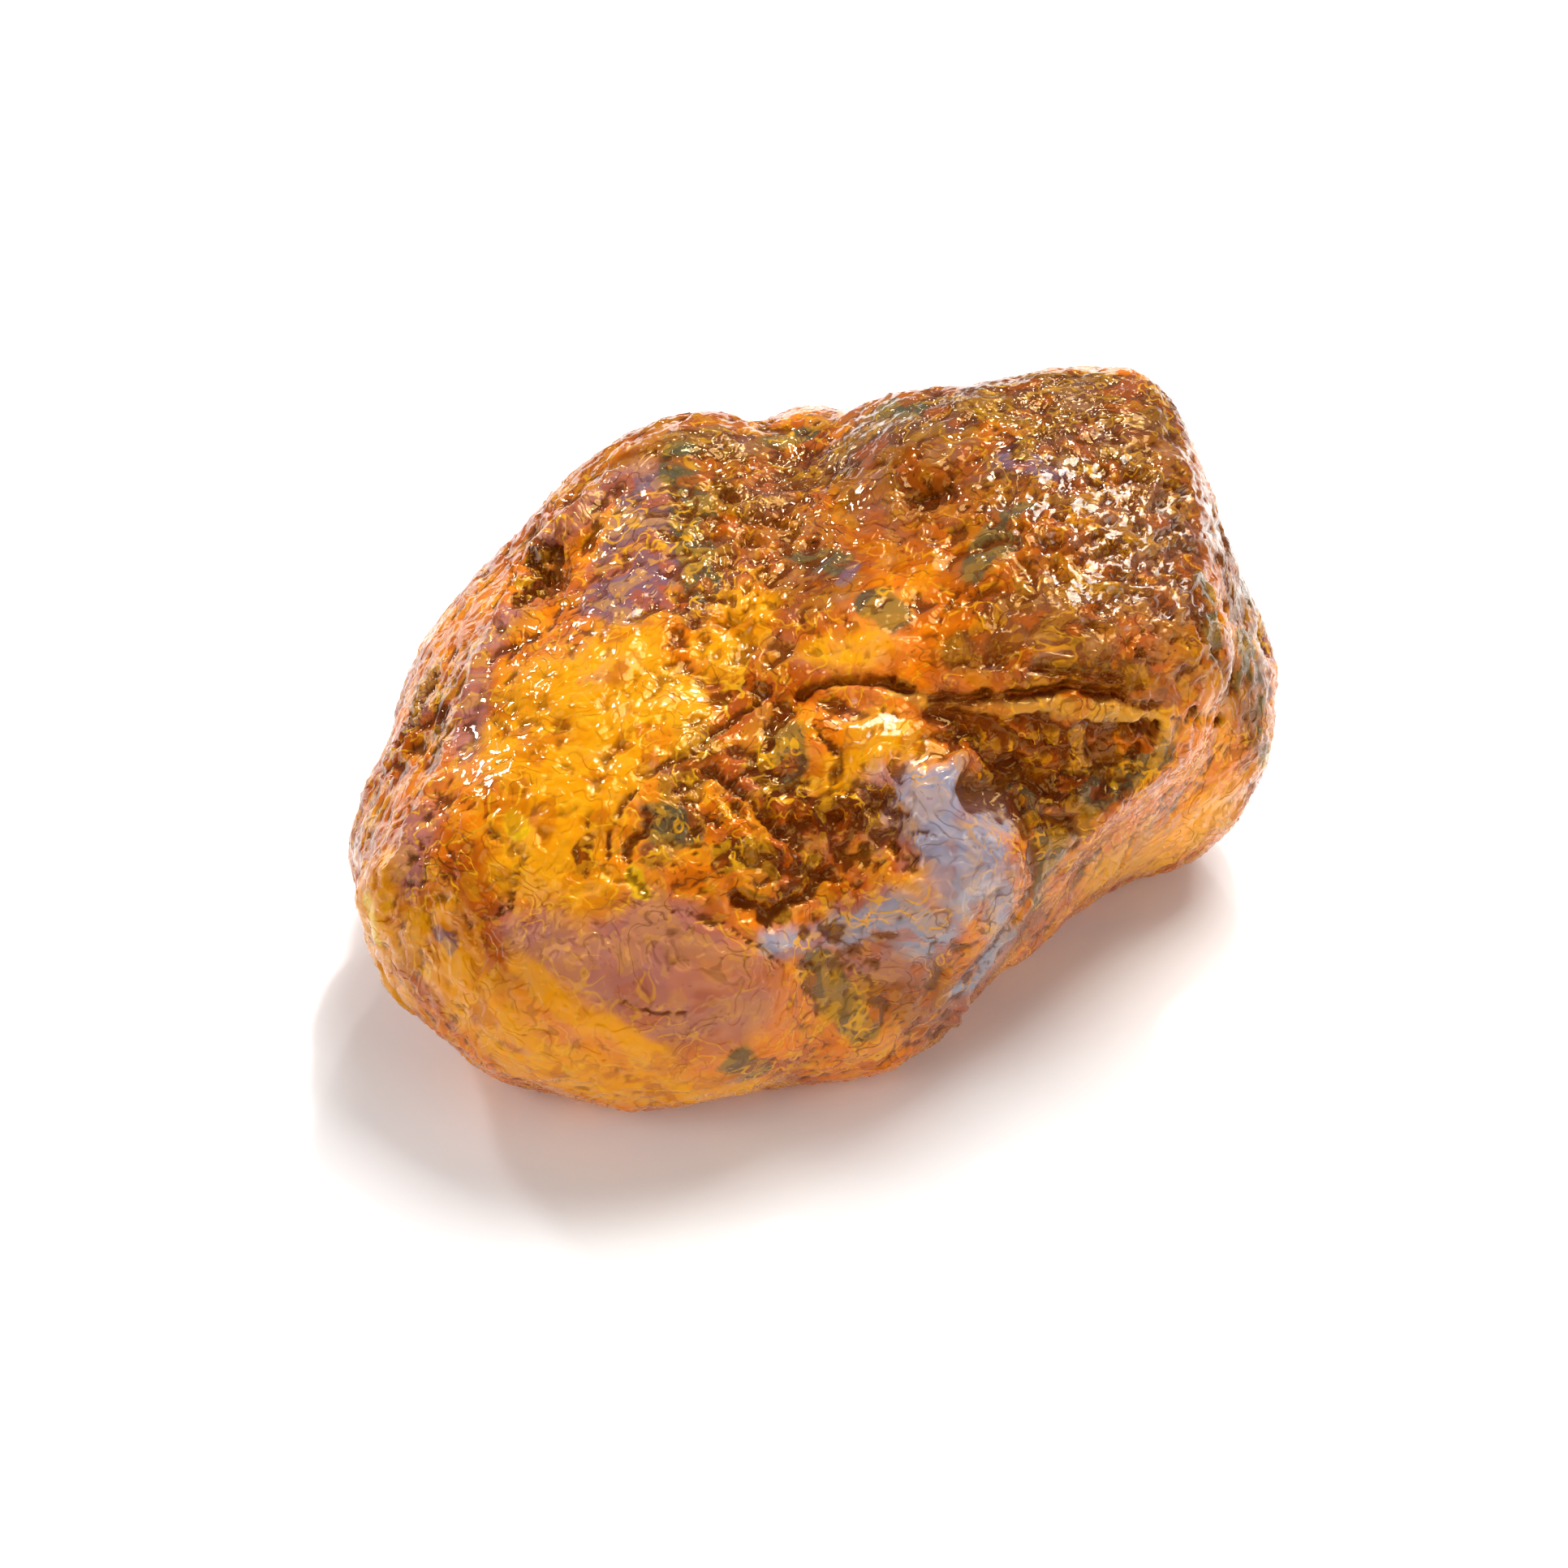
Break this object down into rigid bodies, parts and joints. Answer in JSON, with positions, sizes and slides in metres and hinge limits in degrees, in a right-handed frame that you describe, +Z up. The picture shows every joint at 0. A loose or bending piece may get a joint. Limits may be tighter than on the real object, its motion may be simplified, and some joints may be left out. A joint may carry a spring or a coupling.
{
  "type": "raw amber nugget",
  "caption": "Raw amber nugget: rounded lumps joined in one mass, with a broken brow and crack, pits, and a flat worn underside that it rests on.",
  "frame": {"origin": "middle of the bounding box's underside, on the surface that the nugget rests on", "axes": "+X along the nugget's longest extent, from the low rounded lobe towards the tall block; +Y from the side seen in the picture to the hidden back; +Z up from the flat underside"},
  "size_m": [0.0598, 0.0498, 0.0312],
  "materials": {
    "amber": "glossy, uneven skin of weathered amber, see-through in places"
  },
  "bodies": {
    "root": {"amber_lump": "amber"}
  },
  "joints": []
}
